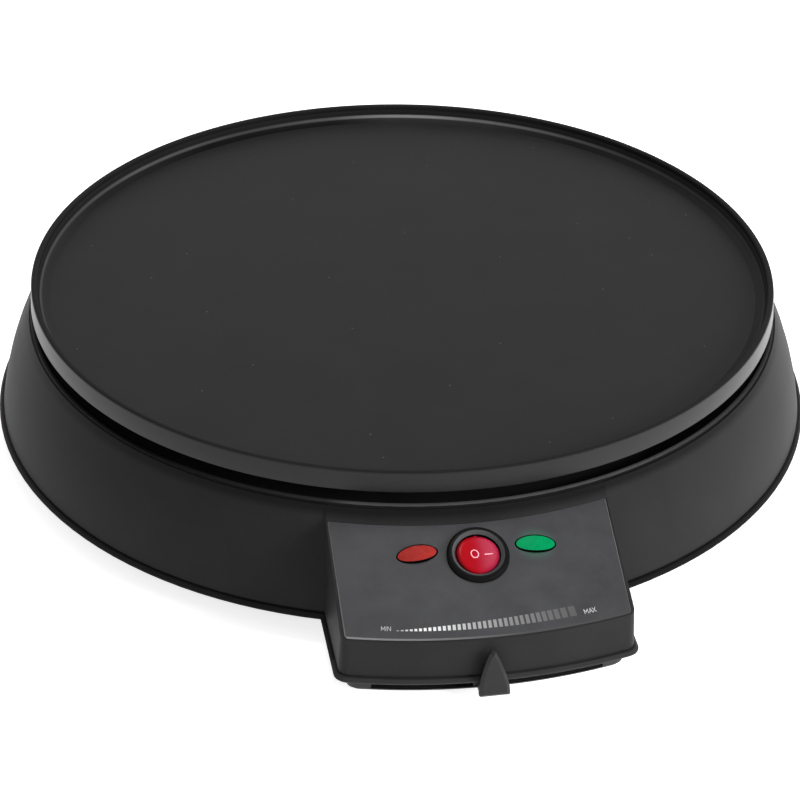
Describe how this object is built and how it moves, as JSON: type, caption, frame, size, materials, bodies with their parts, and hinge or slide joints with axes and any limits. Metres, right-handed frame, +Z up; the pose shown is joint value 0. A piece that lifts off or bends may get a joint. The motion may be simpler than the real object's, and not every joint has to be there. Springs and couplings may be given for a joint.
{
  "type": "electric crepe maker",
  "caption": "Countertop crepe maker: round flat hotplate with a low rim on a flared base, with a front control box holding a rocker switch, indicator lenses and a temperature lever.",
  "frame": {"origin": "on the table under the middle of the overall box; the hotplate's centre stands 17.75 mm behind it", "axes": "+Z up, the control box towards -Y, +X to the right of someone facing the control box"},
  "size_m": [0.332, 0.3726, 0.0655],
  "materials": {
    "base_black": "fine satin texture",
    "cover_black": "satin",
    "panel_grey": "satin with a light mottle",
    "plate_coating": "cast, with a matt non-stick coating",
    "sheath_steel": "heat-dulled",
    "steel": "zinc plated",
    "shield_aluminium": "mill finish",
    "ceramic": "unglazed ceramic",
    "brass": "bright",
    "bimetal": "rolled",
    "fuse_sleeve": "woven glass sleeve",
    "switch_black": "gloss",
    "rocker_red": "gloss",
    "plunger_ivory": "satin",
    "lens_red": "translucent",
    "lens_green": "translucent",
    "holder_ivory": "satin",
    "lamp_glass": "clear",
    "block_ivory": "satin",
    "wire_brown": "insulated",
    "wire_blue": "insulated",
    "wire_green": "insulated",
    "gland_black": "satin",
    "foot_rubber": "matt",
    "lever_black": "satin"
  },
  "bodies": {
    "base": {"housing": "base_black", "bottom_cover": "cover_black", "control_panel": "panel_grey", "cooking_plate": "plate_coating", "heating_element": "sheath_steel", "element_pins": "steel", "heat_shield": "shield_aluminium", "plate_spacers": "steel", "plate_screws": "steel", "thermostat_frame": "steel", "thermostat_insulators": "ceramic", "contact_blades": "brass", "bimetal_strip": "bimetal", "thermostat_screws": "steel", "thermal_fuse": "fuse_sleeve", "fuse_clip": "steel", "clip_screws": "steel", "earth_terminal": "brass", "switch_body": "switch_black", "switch_terminals": "brass", "red_lens": "lens_red", "green_lens": "lens_green", "lamp_holders": "holder_ivory", "neon_lamps": "lamp_glass", "terminal_block": "block_ivory", "terminal_tubes": "brass", "live_wires": "wire_brown", "neutral_wires": "wire_blue", "earth_wire": "wire_green", "cord_gland": "gland_black", "gland_nut": "gland_black", "feet": "foot_rubber", "foot_screws": "steel", "cover_screws": "steel"},
    "lever": {"thermostat_shaft": "steel", "lever_arm": "lever_black", "lever_knob": "lever_black", "shaft_clip": "steel"},
    "rocker_key": {"rocker": "rocker_red", "switch_plunger": "plunger_ivory"},
    "bridge": {"contact_bridge": "brass"}
  },
  "joints": [
    {"name": "temperature_lever", "type": "hinge", "parent": "base", "child": "lever", "pos_m": [0, 0.01775, 0.03], "axis": [0, 0, 1], "range_deg": [-10.5, 10.5]},
    {"name": "rocker_tilt", "type": "hinge", "parent": "base", "child": "rocker_key", "pos_m": [0, -0.14938, 0.0396], "axis": [0, -0.9131, -0.4078], "range_deg": [0, 12]},
    {"name": "bridge_tilt", "type": "hinge", "parent": "base", "child": "bridge", "pos_m": [0, -0.14506, 0.02992], "axis": [0, -0.9131, -0.4078], "range_deg": [-9, 0]}
  ],
  "couplings": [
    {"joint": "bridge_tilt", "follows": "rocker_tilt", "ratio": -0.75}
  ]
}
